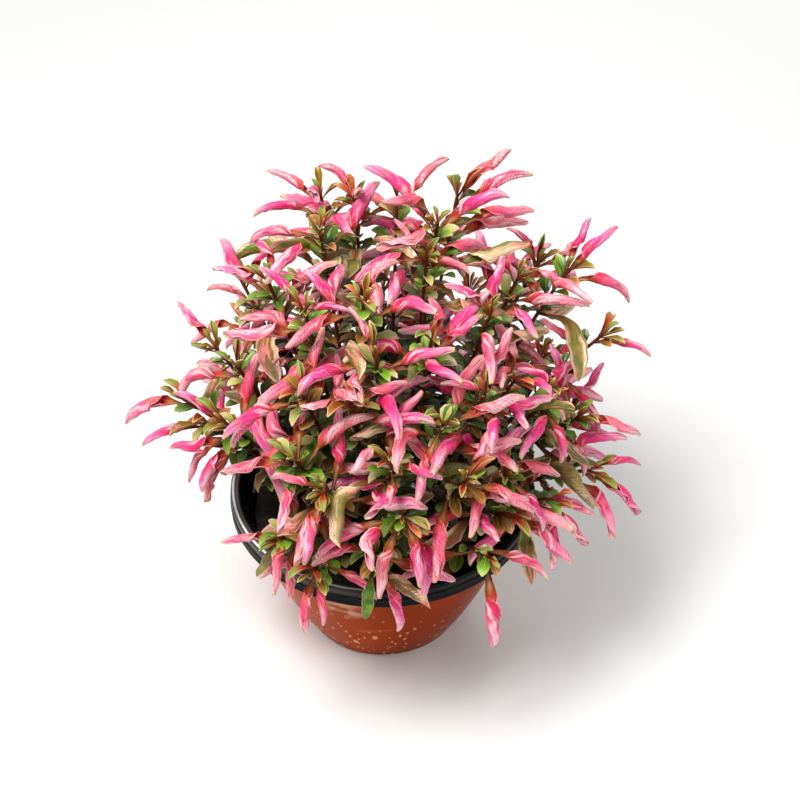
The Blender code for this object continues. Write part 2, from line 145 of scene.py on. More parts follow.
# Leaves listed one by one, mostly along the outline: the shoot's number, millimetres below its tip, the
# compass direction and rise that it starts out with, its length in millimetres, and its droop
PLACED = (
    (2, 8, 205, 10, 40, 35), (4, 8, 36, 50, 40, 35), (4, 14, 22, 40, 45, 35), (4, 22, 11, 28, 43, 35),
    (4, 30, 345, 15, 40, 60), (5, 10, 30, 45, 34, 10), (5, 14, 185, 15, 40, 35), (5, 24, 330, 10, 40, 35),
    (8, 8, 178, 20, 35, 35), (9, 10, 200, 15, 40, 35), (10, 16, 30, 34, 32, 10), (10, 24, 182, 4, 36, 10),
    (12, 9, 152, 42, 34, 35), (13, 6, 148, 48, 46, 35), (14, 3, 52, 46, 35, 10), (15, 4, 70, 50, 34, 10),
    (15, 6, 200, 5, 42, 35), (16, 10, 157, 30, 34, 10), (16, 24, 205, -5, 38, 60), (17, 5, 250, -15, 36, 35),
    (19, 5, 245, -20, 37, 35), (19, 6, 12, 25, 40, 10), (21, 6, 55, 50, 30, 10), (21, 10, 30, 40, 38, 10),
    (21, 12, 4, 14, 42, 60), (22, 6, 355, 8, 30, 35), (22, 14, 160, 40, 26, 10), (22, 26, 200, 20, 40, 35),
    (22, 30, 320, -20, 36, 35), (23, 12, 300, 0, 34, 85), (24, 5, 110, 48, 38, 10), (24, 6, 355, 8, 36, 35),
    (24, 16, 320, -10, 30, 60), (26, 8, 340, 8, 36, 35), (27, 5, 88, 52, 39, 10), (27, 8, 182, 10, 38, 35),
    (29, 6, 185, 5, 36, 35), (29, 12, 95, 20, 26, 10), (29, 16, 215, -5, 32, 60), (29, 24, 232, -10, 36, 60),
    (30, 8, 60, 45, 36, 10), (31, 6, 320, -5, 34, 60), (32, 12, 178, 18, 43, 60), (32, 22, 80, 25, 28, 35),
    (33, 5, 262, 15, 34, 60), (33, 6, 185, 5, 30, 10), (33, 10, 218, -15, 26, 35), (33, 16, 100, 40, 36, 10),
    (33, 16, 262, -15, 34, 60), (34, 4, 290, -10, 36, 60), (34, 8, 248, -15, 42, 60),
    (34, 14, 196, 0, 44, 35), (35, 4, 258, -30, 28, 35), (35, 8, 300, -20, 39, 60),
    (36, 10, 335, -5, 43, 35), (36, 16, 184, 4, 40, 35), (37, 4, 15, 15, 30, 35), (37, 6, 338, -12, 38, 35),
    (38, 8, 350, -5, 27, 10), (38, 16, 335, -10, 38, 35), (38, 22, 290, -25, 42, 35),
    (39, 4, 278, -20, 28, 35), (39, 8, 248, -20, 37, 60), (39, 8, 335, 0, 32, 35), (39, 22, 110, 40, 36, 10),
    (39, 22, 190, 5, 36, 35), (40, 5, 280, -30, 50, 60), (40, 10, 190, -2, 39, 35), (40, 14, 350, 0, 38, 35),
    (43, 6, 150, 35, 38, 10), (43, 14, 165, 30, 41, 35), (44, 6, 60, 40, 30, 10), (44, 14, 165, 30, 24, 35),
    (44, 20, 275, 10, 40, 60), (45, 3, 142, 40, 32, 10), (45, 12, 240, 5, 26, 35), (45, 20, 280, 15, 40, 60),
    (46, 8, 20, 35, 36, 10), (53, 6, 75, 45, 30, 10), (54, 8, 125, 45, 34, 10),
)
# The green ones of those: the shoot, the millimetres below its tip, and the leaf's tone
STAYED_GREEN = {(33, 10): 0.3, (35, 4): 0.28, (38, 22): 0.5, (45, 12): 0.84}
FADED = (17, 4)  # a broad pale leaf over the rim at the left: its shoot, and its place there from 0
BARE = (5, 22, 29, 32, 33, 39, 40, 44, 45)  # shoots that bear no other leaves
# Each group's shoots, pairs of leaves on each, and the lowest that such a leaf hangs
GROUPS = ((CROWN, 3, 100 * MM), (SHOULDER, 3, 88 * MM), (SKIRT, 4, 92 * MM), (BACK, 4, 88 * MM))


# Measures and objects


def unit(vector):
    return vector / np.linalg.norm(vector)


def cos_sin(degrees):
    return math.cos(math.radians(degrees)), math.sin(math.radians(degrees))


def evenly(low, high, steps):
    return [low + (high - low) * k / steps for k in range(steps + 1)]


def added(name, data):
    """A new object in the scene."""
    piece = bpy.data.objects.new(name, data)
    bpy.context.scene.collection.objects.link(piece)
    return piece


# Camera and light


def camera_and_light():
    """The camera looks down from the front; three soft lamps and a pale room light the pieces."""
    down = math.radians(40.5)
    sight = bpy.data.cameras.new("camera")
    sight.lens = 92.25
    eye = added("camera", sight)
    eye.location = (0.0086, -0.7426, 0.7706)
    eye.rotation_euler = (math.pi / 2 - down, 0, 0)
    bpy.context.scene.camera = eye
    lamps = (("key", (-0.45, -0.35, 1.3), 0.6, 21), ("fill", (0.9, -0.7, 0.9), 0.8, 6.5),
             ("back", (0.2, 1.1, 1.0), 0.7, 6))
    for name, place, size, power in lamps:
        lamp = bpy.data.lights.new(name, "AREA")
        lamp.size, lamp.energy = size, power
        stand = added(name, lamp)
        stand.location = place
        aim = Vector((0, 0, 0.12)) - stand.location
        stand.rotation_euler = aim.to_track_quat("-Z", "Y").to_euler()
    bpy.context.scene.view_settings.view_transform = "Standard"
    room = bpy.data.worlds.new("room")
    room.use_nodes = True
    bpy.context.scene.world = room
    # The room is at full strength where it's seen or mirrored, and lights the pieces less
    tree = Nodes(room.node_tree)
    seen, mirrored, through = (tree.node("ShaderNodeLightPath", {}, {}, f"Is {ray} Ray")
                               for ray in ("Camera", "Glossy", "Transmission"))
    strength = tree.node("ShaderNodeMapRange", {}, {"Value": seen + mirrored + through, "To Min": 0.19})
    backdrop = room.node_tree.nodes["Background"]
    tree.put(backdrop.inputs["Color"], (0.95, 0.96, 0.97, 1))
    tree.put(backdrop.inputs["Strength"], strength)


# Materials


def colour(red, green, blue):
    """A colour of 0 to 255 values, as the shader wants it."""
    def linear(value):
        value /= 255
        return value / 12.92 if value <= 0.04045 else ((value + 0.055) / 1.055) ** 2.4
    return (linear(red), linear(green), linear(blue), 1)


class Signal:
    """An output socket that takes arithmetic: each operation adds its Math node."""

    def __init__(self, nodes, socket):
        self.nodes, self.socket = nodes, socket

    def join(self, operation, first, second=0):
        return self.nodes.node("ShaderNodeMath", {"operation": operation}, {0: first, 1: second})

    def __add__(self, other):
        return self.join("ADD", self, other)

    def __sub__(self, other):
        return self.join("SUBTRACT", self, other)

    def __rsub__(self, other):
        return self.join("SUBTRACT", other, self)

    def __mul__(self, other):
        return self.join("MULTIPLY", self, other)

    __radd__ = __add__

    def size(self):
        return self.join("ABSOLUTE", self)

    def wave(self):
        return self.join("SINE", self)

    def root(self):
        return self.join("SQRT", self)

    def rest(self):
        """What is left after the whole number: with a tone times a few, another random value."""
        return self.join("FRACT", self)

    def rise(self, low, high):
        """0 below low, 1 above high, smooth between; low above high turns it round."""
        values = {"Value": self, "From Min": low, "From Max": high}
        return self.nodes.node("ShaderNodeMapRange", {"interpolation_type": "SMOOTHSTEP"}, values)

    def painted(self, mask, red, green, blue):
        """This colour with another laid over it, as thick as the mask."""
        return self.nodes.blend(mask, self, colour(red, green, blue))


class Nodes:
    """A node tree under construction."""

    def __init__(self, tree):
        self.tree = tree

    def node(self, kind, settings, values, output=0):
        """Adds a node: its settings first, then the values or links of its sockets."""
        made = self.tree.nodes.new(kind)
        for key, value in settings.items():
            if key == "stops":
                self.set_stops(made.color_ramp, value)
            else:
                setattr(made, key, value)
        for socket, value in values.items():
            self.put(made.inputs[socket], value)
        return Signal(self, made.outputs[output])

    def set_stops(self, ramp, stops):
        """Fills in a ramp's stops; it has its first and last from the start."""
        for place, *shade in stops[1:-1]:
            ramp.elements.new(place).color = colour(*shade)
        for end in (0, -1):
            place, *shade = stops[end]
            ramp.elements[end].position, ramp.elements[end].color = place, colour(*shade)

    def put(self, socket, value):
        if isinstance(value, Signal):
            self.tree.links.new(value.socket, socket)
        else:
            socket.default_value = value


class Finish(Nodes):
    """A Principled material under construction."""

    def __init__(self, name, **constants):
        self.material = bpy.data.materials.new(name)
        self.material.use_nodes = True
        super().__init__(self.material.node_tree)
        self.set(**constants)

    def set(self, **values):
        """Sets or links the shader's sockets, and gives the material."""
        for socket, value in values.items():
            self.put(self.tree.nodes["Principled BSDF"].inputs[socket.replace("_", " ")], value)
        return self.material

    def place(self, squash=None):
        """The place on the object; a pattern is longer along an axis whose squash is under 1."""
        where = self.node("ShaderNodeTexCoord", {}, {}, "Object")
        return self.node("ShaderNodeMapping", {}, {"Vector": where, "Scale": squash}) if squash else where

    def noise(self, scale, detail, squash=None):
        return self.node("ShaderNodeTexNoise", {},
                         {"Vector": self.place(squash), "Scale": scale, "Detail": detail})

    def cells(self, scale, squash=None):
        """How far the nearest of many scattered points is."""
        return self.node("ShaderNodeTexVoronoi", {}, {"Vector": self.place(squash), "Scale": scale})

    def axes(self, vector):
        return [self.node("ShaderNodeSeparateXYZ", {}, {0: vector}, k) for k in range(3)]

    def ramp(self, factor, *stops):
        """Shades along a factor; each stop is its place, red, green and blue."""
        return self.node("ShaderNodeValToRGB", {"stops": stops}, {0: factor})

    def blend(self, factor, first, second):
        return self.node("ShaderNodeMix", {"data_type": "RGBA"}, {0: factor, 6: first, 7: second}, 2)

    def bump(self, height, depth, strength):
        return self.node("ShaderNodeBump", {}, {"Height": height, "Distance": depth, "Strength": strength})

    def streaks(self, across, along, tone, width, length):
        """Patches drawn out along a leaf, different on each leaf."""
        where = self.node("ShaderNodeCombineXYZ", {}, {0: across * width, 1: along * length, 2: tone * 37})
        return self.node("ShaderNodeTexNoise", {}, {"Vector": where, "Scale": 1.0, "Detail": 3})

    def leaf_marks(self):
        """Across and along a leaf, 0 to 1, the leaf's own tone, and how green it has stayed; on small leaves
        that last is their depth of painted shade.
        """
        across, along, _ = self.axes(self.node("ShaderNodeUVMap", {"uv_map": "UVMap"}, {}))
        tone, green = (self.node("ShaderNodeAttribute", {"attribute_name": name}, {}, "Fac")
                       for name in ("tone", "green"))
        return across, along, tone, green


def pink_leaf():
    """Olive-bronze stalk, then a hot pink blade, streaked and creased, with shade painted in its creases;
    old leaves stay green and cream.
    """
    finish = Finish("pink_leaf", Coat_Weight=0.16, Coat_Roughness=0.14, Specular_IOR_Level=0.12)
    across, along, tone, green = finish.leaf_marks()
    cloud = finish.noise(190, 3)
    fine = finish.noise(900, 2)
    streak = finish.streaks(across, along, tone, 7, 2.4)
    crease = finish.streaks(across, along, tone, 19, 5)
    blade = along.rise(0.38, 0.46)
    side = (across - 0.5).size()
    up = along + (cloud - 0.5) * 0.16
    rich = finish.ramp(up, (0, 52, 20, 8), (0.2, 98, 60, 18), (0.33, 142, 80, 28), (0.41, 200, 52, 46),
                       (0.5, 226, 30, 104), (0.72, 244, 88, 158), (0.9, 250, 150, 190), (1, 248, 186, 180))
    pale = finish.ramp(up, (0, 68, 34, 8), (0.22, 120, 78, 20), (0.35, 166, 88, 32), (0.43, 218, 74, 58),
                       (0.56, 240, 102, 122), (0.76, 250, 140, 156), (0.92, 252, 180, 182),
                       (1, 246, 196, 164))
    skin = finish.blend(tone.rise(0.15, 0.85), rich, pale)
    # the blade's own pale streaks, brightened further as painted highlight
    skin = skin.painted(streak.rise(0.5, 0.63) * blade * 0.8, 254, 206, 212)
    skin = skin.painted(streak.rise(0.46, 0.34) * blade * 0.6, 228, 26, 100)
    skin = skin.painted(cloud.rise(0.54, 0.66) * blade * 0.4, 240, 120, 84)
    # painted shade: dark lines in the blade's creases, which the bump also sinks
    skin = skin.painted(crease.rise(0.56, 0.68) * blade * 0.65, 150, 18, 50)
    tip = (along + (cloud - 0.5) * 0.12).rise(0.95, 0.99) * (tone * 5).rest().rise(0.6, 0.75)
    skin = skin.painted(tip * 0.8, 222, 206, 140)
    channel = side.rise(0.30, 0.10) * along.rise(0.42, 0.30)
    skin = skin.painted(channel * 0.45, 214, 150, 116)
    fresh = finish.blend(cloud.rise(0.4, 0.6), colour(44, 116, 14), colour(98, 144, 34))
    leafy = finish.blend(cloud.rise(0.46, 0.62), colour(80, 122, 20), colour(142, 126, 44))
    leafy = leafy.painted(side.rise(0.16, 0.42) * streak.rise(0.38, 0.52), 250, 220, 174)
    leafy = leafy.painted(streak.rise(0.54, 0.64), 244, 124, 118)
    leafy = finish.blend((tone * 3).rest().rise(0.62, 0.66), leafy, fresh)
    leafy = leafy.painted(along.rise(0.45, 0.25), 100, 60, 16)
    skin = finish.blend(green, skin, leafy)
    wrinkled = (tone * 9).rest().rise(0.3, 0.9)
    slant = along * 150 - side * 46 + (cloud - 0.5) * 8
    folds = slant.wave().rise(0.55, 1.0) * fine.rise(0.35, 0.6) * blade
    # painted shade: the folds darkened where the bump dents them
    skin = skin.painted(folds * (wrinkled * 0.55 + 0.15), 158, 30, 58)
    specks = finish.cells(430).rise(0.20, 0.11) * finish.noise(260, 1).rise(0.53, 0.59) * blade * 0.85
    skin = skin.painted(specks, 96, 18, 40)
    margin = side.rise(0.46, 0.49) * blade * 0.45
    skin = skin.painted(margin, 252, 210, 190)
    height = cloud * 0.5 + fine * 0.25 - folds * (wrinkled * 0.9 + 0.2) - crease.rise(0.5, 0.7) * 0.8
    return finish.set(Base_Color=skin, Roughness=0.44 - cloud * 0.2, Normal=finish.bump(height, 0.0006, 0.7))


def young_leaf():
    """Dark red at the stem, through orange-brown, to a pink, olive or cream blade."""
    finish = Finish("young_leaf", Coat_Weight=0.12, Coat_Roughness=0.2, Specular_IOR_Level=0.15)
    across, along, tone, _ = finish.leaf_marks()
    cloud = finish.noise(330, 2)
    up = along + (cloud - 0.5) * 0.25
    red = finish.ramp(up, (0, 88, 16, 6), (0.3, 140, 34, 10), (0.55, 182, 66, 30), (0.8, 206, 116, 72),
                      (1, 224, 184, 118))
    olive = finish.ramp(up, (0, 92, 26, 8), (0.35, 134, 74, 14), (0.65, 136, 110, 28), (0.85, 166, 144, 60),
                        (1, 226, 212, 146))
    skin = finish.blend(tone.rise(0.25, 0.55), red, olive)
    skin = skin.painted(along.rise(0.5, 0.85) * (tone * 6).rest().rise(0.5, 0.7), 150, 176, 84)
    side = (across - 0.5).size()
    rib = side.rise(0.07, 0.02) * 0.35
    margin = side.rise(0.44, 0.49) * along.rise(0.35, 0.6) * 0.3
    skin = skin.painted(rib, 220, 104, 70)
    skin = skin.painted(margin, 244, 196, 156)
    return finish.set(Base_Color=skin, Roughness=0.4 - cloud * 0.14, Normal=finish.bump(cloud, 0.0003, 0.4))


def green_leaf():
    """Small glossy leaves: fresh or dark green, bronze, or cream with a green middle; painted shade darkens
    those deeper below a tip.
    """
    finish = Finish("green_leaf", Coat_Weight=0.3, Coat_Roughness=0.12, Specular_IOR_Level=0.2)
    across, along, tone, shade = finish.leaf_marks()
    cloud = finish.noise(260, 2)
    side = (across - 0.5).size()
    up = along + (cloud - 0.5) * 0.35
    fresh = finish.ramp(up, (0, 70, 48, 10), (0.3, 76, 114, 14), (0.7, 124, 164, 34), (1, 192, 214, 120))
    deep = finish.ramp(up, (0, 60, 28, 8), (0.3, 50, 76, 10), (0.7, 84, 120, 20), (1, 140, 158, 62))
    bronze = finish.ramp(up, (0, 74, 26, 8), (0.4, 116, 64, 12), (0.75, 160, 102, 30), (1, 220, 150, 96))
    cream = finish.ramp(up, (0, 100, 62, 20), (0.4, 150, 150, 58), (0.75, 196, 196, 116), (1, 244, 212, 184))
    skin = finish.blend(tone.rise(0.25, 0.32), fresh, deep)
    skin = finish.blend(tone.rise(0.50, 0.56), skin, bronze)
    skin = finish.blend(tone.rise(0.82, 0.86), skin, cream)
    margin = side.rise(0.36, 0.48) * tone.rise(0.55, 0.95) * along.rise(0.3, 0.6)
    skin = skin.painted(margin * 0.6, 244, 204, 170)
    rib = side.rise(0.06, 0.02) * 0.45
    veins = (along * 60 - side * 26).wave().rise(0.8, 1.0) * 0.25
    skin = skin.painted(rib, 176, 186, 96)
    skin = skin.painted(veins, 140, 164, 70)
    # painted shade: small green leaves deep below a tip darkened nearly to black-green
    skin = skin.painted(shade * (tone * 7).rest().rise(1.3, 0.2) * 0.9, 18, 26, 6)
    height = cloud * 0.5 - rib - veins
    return finish.set(Base_Color=skin, Roughness=0.32 - cloud * 0.12,
                      Normal=finish.bump(height, 0.0004, 0.5))


def bract():
    """Papery cream scales where leaves meet the stem."""
    finish = Finish("bract")
    _, along, tone, _ = finish.leaf_marks()
    cloud = finish.noise(500, 2)
    skin = finish.ramp(along + (cloud - 0.5) * 0.3, (0, 150, 96, 52), (0.4, 222, 190, 140),
                       (1, 246, 232, 204))
    return finish.set(Base_Color=skin.painted(tone * 0.3, 230, 170, 150), Roughness=0.6 + cloud * 0.2)


def stem_skin():
    """Dark red-brown stems, lighter red-brown higher up, finely streaked."""
    finish = Finish("stem_skin", Coat_Weight=0.1, Coat_Roughness=0.3, Specular_IOR_Level=0.15)
    streak = finish.noise(900, 3, (1, 1, 0.12))
    patch = finish.noise(70, 2)
    skin = finish.ramp(streak * 0.6 + patch * 0.4, (0.3, 34, 10, 6), (0.5, 70, 22, 10), (0.7, 112, 44, 18))
    height = finish.axes(finish.place())[2]
    # lighter red-brown from 12 cm up
    skin = skin.painted(height.rise(0.12, 0.2) * 0.35, 124, 46, 16)
    return finish.set(Base_Color=skin, Roughness=0.5 - patch * 0.15, Normal=finish.bump(streak, 0.0002, 0.5))


def terracotta_plastic():
    """Glossy orange-brown bowl: painted light on its left and painted shade on its right, splashed low down,
    dusty under the skirt.
    """
    finish = Finish("terracotta_plastic", Specular_IOR_Level=0.015, Specular_Tint=colour(255, 150, 60))
    x, y, z = finish.axes(finish.place())
    cloud = finish.noise(28, 4)
    fine = finish.noise(420, 3)
    # painted light and shade: bright orange on the bowl's left runs to deep brown on its right
    skin = finish.ramp(cloud * 0.4 + x * 5 + 0.3, (0.1, 190, 82, 28), (0.35, 170, 65, 14), (0.5, 150, 54, 6),
                       (0.65, 132, 44, 4), (0.9, 118, 38, 3))
    low = z.rise(0.066, 0.012)
    drawn_out = (1, 0.6, 0.45)  # specks are longer down the bowl's side than round it
    crumbs = finish.cells(150, drawn_out).rise(0.24, 0.14) * finish.noise(60, 2).rise(0.38, 0.5)
    dots = finish.cells(300, drawn_out).rise(0.28, 0.16) * finish.noise(95, 2).rise(0.4, 0.5)
    splash = (crumbs + dots).rise(0.1, 0.9) * (low * 0.95 + 0.06) * (x.rise(0.04, 0.005) * 0.65 + 0.35)
    aside, above = x + 18 * MM, z - 57 * MM  # from the middle of a smear
    smear = (aside * aside + above * above * 2).root().rise(15 * MM, 5 * MM) * y.rise(-0.03, -0.05)
    smear = smear * finish.noise(110, 5, (1, 1, 2)).rise(0.35, 0.6)
    film = finish.noise(45, 5, (1, 1, 2.6)).rise(0.60, 0.76) * (low * 0.2 + 0.06)
    skin = skin.painted(film, 214, 140, 96)
    skin = skin.painted(smear * 0.6, 226, 190, 164)
    skin = skin.painted(splash * 0.85, 246, 176, 118)
    return finish.set(Base_Color=skin, Roughness=0.2 + film + smear * 0.3 + splash * 0.3 + fine * 0.06,
                      Normal=finish.bump(splash * 0.8 + fine * 0.12 + smear * 0.2, 0.0004, 0.5))


def black_plastic():
    """Glossy black liner: fine scuffs, a little dried dust, grey dust and painted reflection near the rim on
    its left, and a painted highlight along the lip's left.
    """
    finish = Finish("black_plastic", Coat_Weight=0.04, Coat_Roughness=0.08, Specular_IOR_Level=0.07)
    x, y, z = finish.axes(finish.place())
    out = (x * x + y * y).root()
    dust = finish.noise(55, 5).rise(0.52, 0.78)
    scuff = finish.noise(700, 2, (1, 1, 0.08)).rise(0.6, 0.75)
    grains = finish.cells(260).rise(0.2, 0.1) * finish.noise(80, 2).rise(0.5, 0.65)
    skin = finish.blend(dust * 0.12, colour(8, 8, 9), colour(98, 88, 78))
    skin = skin.painted(grains * 0.4, 120, 108, 94)
    leftward = (x + y * 0.4).rise(-0.03, -0.055)
    # grey near the rim on the left: dust, and painted reflection of the light
    rim_dust_and_reflection = out.rise(RIM_R - 5 * MM, RIM_R - 3 * MM) * z.rise(RIM_TOP - 6 * MM, RIM_TOP - 2 * MM)
    skin = skin.painted(rim_dust_and_reflection * leftward * (0.45 + dust * 0.4), 118, 108, 98)
    on_lip = out.rise(RIM_R - 2 * MM, RIM_R - 1.7 * MM) * out.rise(RIM_R - 0.7 * MM, RIM_R - 1 * MM)
    on_lip = on_lip * z.rise(RIM_TOP - 1.1 * MM, RIM_TOP - 0.7 * MM)
    # painted highlight: a thin near-white line along the lip's left, where the light catches it
    painted_lip_highlight = on_lip * leftward * finish.noise(120, 3).rise(0.2, 0.4)
    skin = skin.painted(painted_lip_highlight, 240, 246, 250)
    return finish.set(Base_Color=skin, Roughness=0.2 + dust * 0.3 + scuff * 0.1 + grains * 0.3,
                      Normal=finish.bump(scuff * 0.4 + grains, 0.0003, 0.4))


def soil_grain():
    """Dark damp potting soil with brown fibres and a few pale grains."""
    finish = Finish("soil_grain")
    coarse = finish.noise(180, 4)
    lumps = finish.cells(320)
    fibre = finish.noise(420, 3, (1, 0.2, 1)).rise(0.62, 0.72)
    skin = finish.ramp(coarse, (0.3, 9, 6, 4), (0.55, 30, 21, 15), (0.75, 60, 43, 30))
    skin = skin.painted(fibre * 0.6, 112, 78, 48)
    grains = finish.cells(210).rise(0.14, 0.09) * finish.noise(140, 1).rise(0.6, 0.66)
    skin = skin.painted(grains * 0.8, 176, 164, 142)
    return finish.set(Base_Color=skin, Roughness=0.95 - coarse * 0.25,
                      Normal=finish.bump(lumps * 0.7 + coarse, 0.0015, 0.9))


def pale_floor():
    finish = Finish("pale_floor", Roughness=0.75)
    return finish.set(Base_Color=colour(238, 238, 236))


# Modelling by hand


def mode(name):
    bpy.ops.object.mode_set(mode=name)


def deselect():
    bpy.ops.object.select_all(action="DESELECT")


def pick(piece):
    deselect()
    piece.select_set(True)
    bpy.context.view_layer.objects.active = piece


def apply(piece, kind, **settings):
    """Adds a modifier and applies it."""
    pick(piece)
    change = piece.modifiers.new(kind.lower(), kind)
    for key, value in settings.items():
        setattr(change, key, value)
    bpy.ops.object.modifier_apply(modifier=change.name)


def settle(piece, name, finish=None, smooth_below=35):
    """Names the piece, puts its place in its mesh, and gives it its material and smooth faces."""
    pick(piece)
    piece.name = piece.data.name = name
    bpy.ops.object.transform_apply(location=True, rotation=True, scale=True)
    if finish:
        piece.data.materials.clear()
        piece.data.materials.append(finish)
    bpy.ops.object.shade_smooth_by_angle(angle=math.radians(smooth_below))
    return piece


def close_ring(piece, radius, height):
    """Fills the open ring of this radius and height."""
    near = 0.02 * MM
    pick(piece)
    mode("EDIT")
    bpy.ops.mesh.select_mode(type="VERT")
    bpy.ops.mesh.select_all(action="DESELECT")
    mode("OBJECT")
    for point in piece.data.vertices:
        on_ring = abs(math.hypot(point.co.x, point.co.y) - radius) < near
        point.select = on_ring and abs(point.co.z - height) < near
    mode("EDIT")
    bpy.ops.mesh.edge_face_add()
    mode("OBJECT")


def turned(name, outline, finish):
    """A closed form: a ring at the outline's first point, extruded to each next one, ends filled."""
    deselect()
    radius, height = outline[0]
    bpy.ops.mesh.primitive_circle_add(vertices=TURN_SIDES, radius=radius, location=(0, 0, height))
    piece = bpy.context.object
    bpy.ops.object.transform_apply(location=True)
    mode("EDIT")
    bpy.ops.mesh.select_all(action="SELECT")
    for (last_r, last_z), (r, z) in zip(outline, outline[1:]):
        bpy.ops.mesh.extrude_region_move(TRANSFORM_OT_translate={"value": (0, 0, z - last_z)})
        bpy.ops.transform.resize(value=(r / last_r, r / last_r, 1), center_override=(0, 0, z))
    mode("OBJECT")
    close_ring(piece, *outline[0])
    close_ring(piece, *outline[-1])
    mode("EDIT")
    bpy.ops.mesh.select_all(action="SELECT")
    bpy.ops.mesh.normals_make_consistent(inside=False)
    mode("OBJECT")
    return settle(piece, name, finish)


def stands_for(piece, node):
    """Rides on the body and stands for its solid, which is hidden."""
    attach(piece, BODY)
    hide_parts(node)


# Pot and soil


def pot(node, outline, finish):
    """A turned pot with drain holes through its floor."""
    piece = turned(f"{node}_shell", outline, finish)
    for k in range(HOLES):
        cos, sin = cos_sin(360 * k / HOLES)
        deselect()
        bpy.ops.mesh.primitive_cylinder_add(vertices=32, radius=HOLE_R, depth=BOWL_FLOOR * 6,
                                            location=(HOLE_RING_R * cos, HOLE_RING_R * sin, 0))
        peg = bpy.context.object
        apply(piece, "BOOLEAN", object=peg, operation="DIFFERENCE")
        bpy.data.objects.remove(peg, do_unlink=True)
    stands_for(settle(piece, piece.name), node)


def bowl_radius(z):
    return BASE_R + (SHOULDER_R - BASE_R) * (max(z, 0) / SHOULDER_Z) ** FULLNESS


def liner_radius(z):
    return bowl_radius(z) - BOWL_WALL - GAP


def arc(centre_r, centre_z, radius, start, end, steps):
    turns = map(cos_sin, evenly(start, end, steps))
    return [(centre_r + radius * cos, centre_z + radius * sin) for cos, sin in turns]


def outer_pot():
    foot = arc(bowl_radius(FOOT_ROUND) - FOOT_ROUND, FOOT_ROUND, FOOT_ROUND, -90, -14, 7)
    outside = [(bowl_radius(z), z) for z in evenly(FOOT_ROUND * 2, BOWL_TOP, 16)]
    inside = [(bowl_radius(z) - BOWL_WALL, z) for z in reversed(evenly(BOWL_FLOOR, BOWL_TOP, 10))]
    outline = [(CENTRE_R, 0), (FLAT_RING_R, 0)] + foot + outside + inside + [(CENTRE_R, BOWL_FLOOR)]
    pot("outer_pot", outline, terracotta_plastic())


def liner_pot():
    """The black liner: wall, web, turned-down skirt with a fine ridge and a beaded foot, round lip."""
    bottom = BOWL_FLOOR + GAP
    hook_top = BOWL_TOP + GAP * 2
    wall = [(liner_radius(z), z) for z in evenly(bottom, hook_top, 12)]
    skirt_in = RIM_R - LINER_WALL
    skirt = [(skirt_in, hook_top), (skirt_in, SKIRT_FOOT + SKIRT_BEAD)]
    foot = arc(RIM_R - SKIRT_BEAD, SKIRT_FOOT + SKIRT_BEAD, SKIRT_BEAD, -180, 0, 8)
    side = [(SIDE_R, SKIRT_FOOT + SKIRT_BEAD * 2.2), (SIDE_R, RIDGE_Z - RIDGE * 1.6)]
    ridge = arc(RIDGE_R, RIDGE_Z, RIDGE, -80, 80, 6)
    upper = [(UPPER_R, RIDGE_Z + RIDGE * 1.6), (UPPER_R, RIM_TOP - RIM_ROUND * 2.4)]
    lip = arc(RIM_R - RIM_ROUND, RIM_TOP - RIM_ROUND, RIM_ROUND, -10, 90, 8)
    bore = liner_radius(RIM_TOP) - LINER_WALL
    mouth = arc(bore + RIM_ROUND, RIM_TOP - RIM_ROUND, RIM_ROUND, 90, 180, 6)
    inside = [(liner_radius(z) - LINER_WALL, z)
              for z in reversed(evenly(bottom + LINER_FLOOR, RIM_TOP - RIM_ROUND * 2, 12))]
    outline = ([(CENTRE_R, bottom)] + wall + skirt + foot + side + ridge + upper + lip + mouth + inside
               + [(CENTRE_R, bottom + LINER_FLOOR)])
    pot("liner_pot", outline, black_plastic())


def soil():
    """The soil's plug: flat at first with a bevelled edge, then heaped in lumps by two cloud patterns."""
    low = BOWL_FLOOR + LINER_FLOOR + GAP * 2
    edge = liner_radius(SOIL_TOP) - LINER_WALL - GAP
    level, bevel = SOIL_TOP - 0.8 * MM, 0.4 * MM
    top = [(r, level) for r in evenly(CENTRE_R, edge, SOIL_RINGS)[:-1]]
    side = [(liner_radius(z) - LINER_WALL - GAP, z) for z in reversed(evenly(low, level - bevel, 6))]
    plug = turned("soil_plug", top + side + [(CENTRE_R, low)], soil_grain())
    upper = plug.vertex_groups.new(name="top")
    upper.add([p.index for p in plug.data.vertices
               if p.co.z > level - bevel / 2 and math.hypot(p.co.x, p.co.y) < edge * 0.985], 1, "REPLACE")
    for size, rise in ((9 * MM, 1.8 * MM), (2.6 * MM, 1.1 * MM)):
        lumps = bpy.data.textures.new("lumps", "CLOUDS")
        lumps.noise_scale = size
        apply(plug, "DISPLACE", texture=lumps, texture_coords="LOCAL", direction="Z",
              strength=rise, mid_level=0.5, vertex_group="top")
    stands_for(settle(plug, "soil_plug"), "soil")


# Growth: where each stem runs and each leaf hangs


def turn(vector, axis, degrees):
    """The vector turned round a unit axis."""
    cos, sin = cos_sin(degrees)
    return vector * cos + np.cross(axis, vector) * sin + axis * (axis @ vector) * (1 - cos)


def stem_line(azimuth, lean, reach):
    """Points of a stem from the soil to its tip: a curve that arches up a little."""
    out = np.array((*cos_sin(azimuth), 0))
    upright, level = cos_sin(lean)
    root = out * (ROOT_NEAR + ROOT_SPREAD * level) + UP * (SOIL_TOP + GAP + STEM_R * level)
    tip = out * reach * level + UP * (SOIL_TOP + reach * upright)
    middle = (root + tip) / 2 + UP * reach * ARCH * level
    t = np.linspace(0, 1, STEM_POINTS + 1)[:, None]
    return (1 - t) ** 2 * root + 2 * t * (1 - t) * middle + t * t * tip


